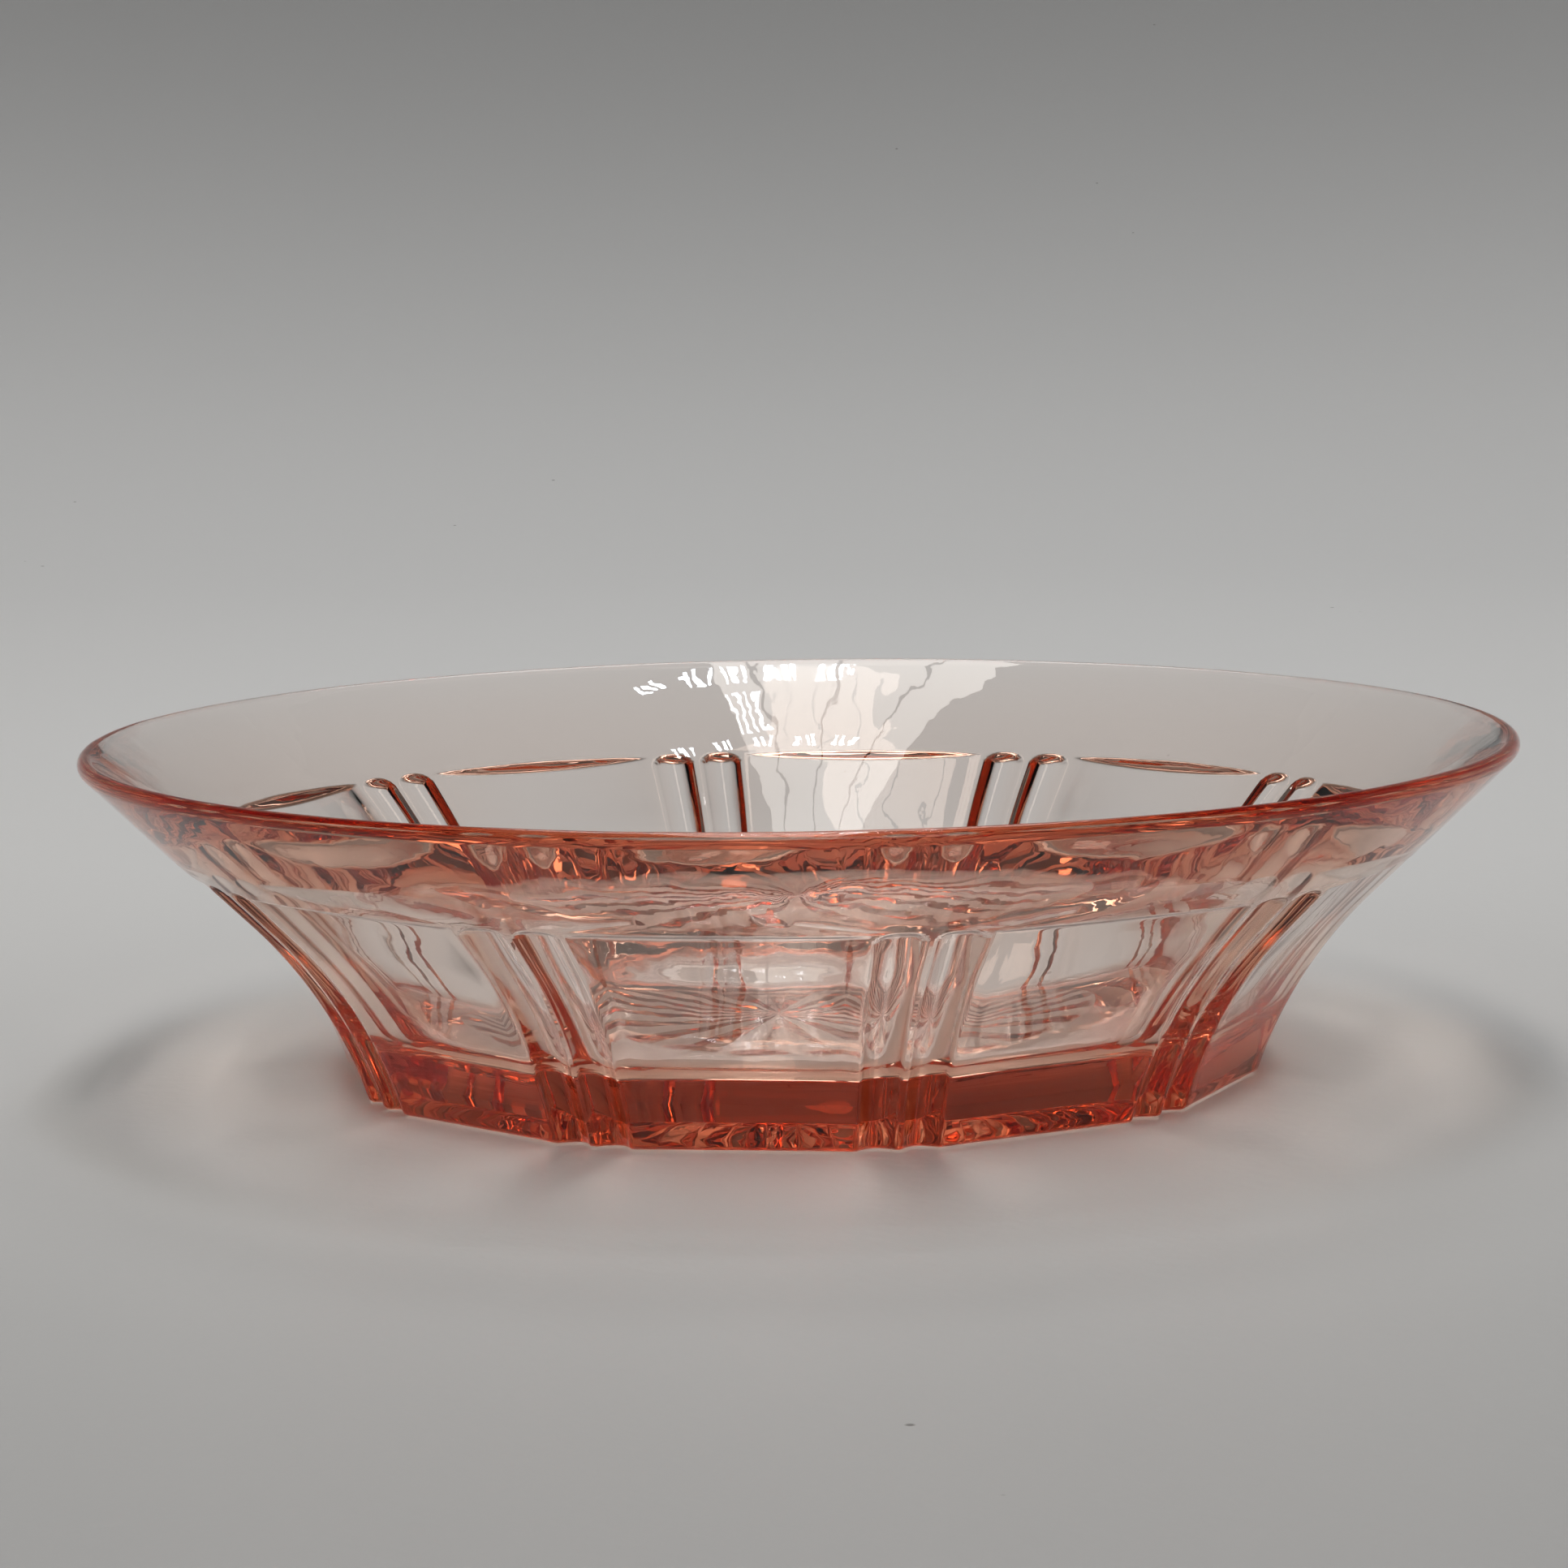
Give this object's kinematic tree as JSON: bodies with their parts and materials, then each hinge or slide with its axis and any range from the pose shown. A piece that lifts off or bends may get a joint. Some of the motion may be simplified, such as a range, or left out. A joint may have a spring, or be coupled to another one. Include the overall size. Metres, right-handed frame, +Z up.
{
  "type": "candy dish",
  "caption": "Shallow round pressed-glass bowl with a flared wall, flat outside panels parted by paired flutes, a smooth round lip and a thick flat base",
  "frame": {"origin": "centre of the resting face under the base, at the bottom of the bounding box", "axes": "+Z up along the axis of the bowl, -Y towards the side that the picture shows, +X to its right"},
  "size_m": [0.178, 0.178, 0.0414],
  "materials": {
    "pink_glass": "clear pale salmon-pink pressed glass, fire-polished, deeper orange-red where it is thick"
  },
  "bodies": {
    "root": {"glass_dish": "pink_glass"}
  },
  "joints": []
}
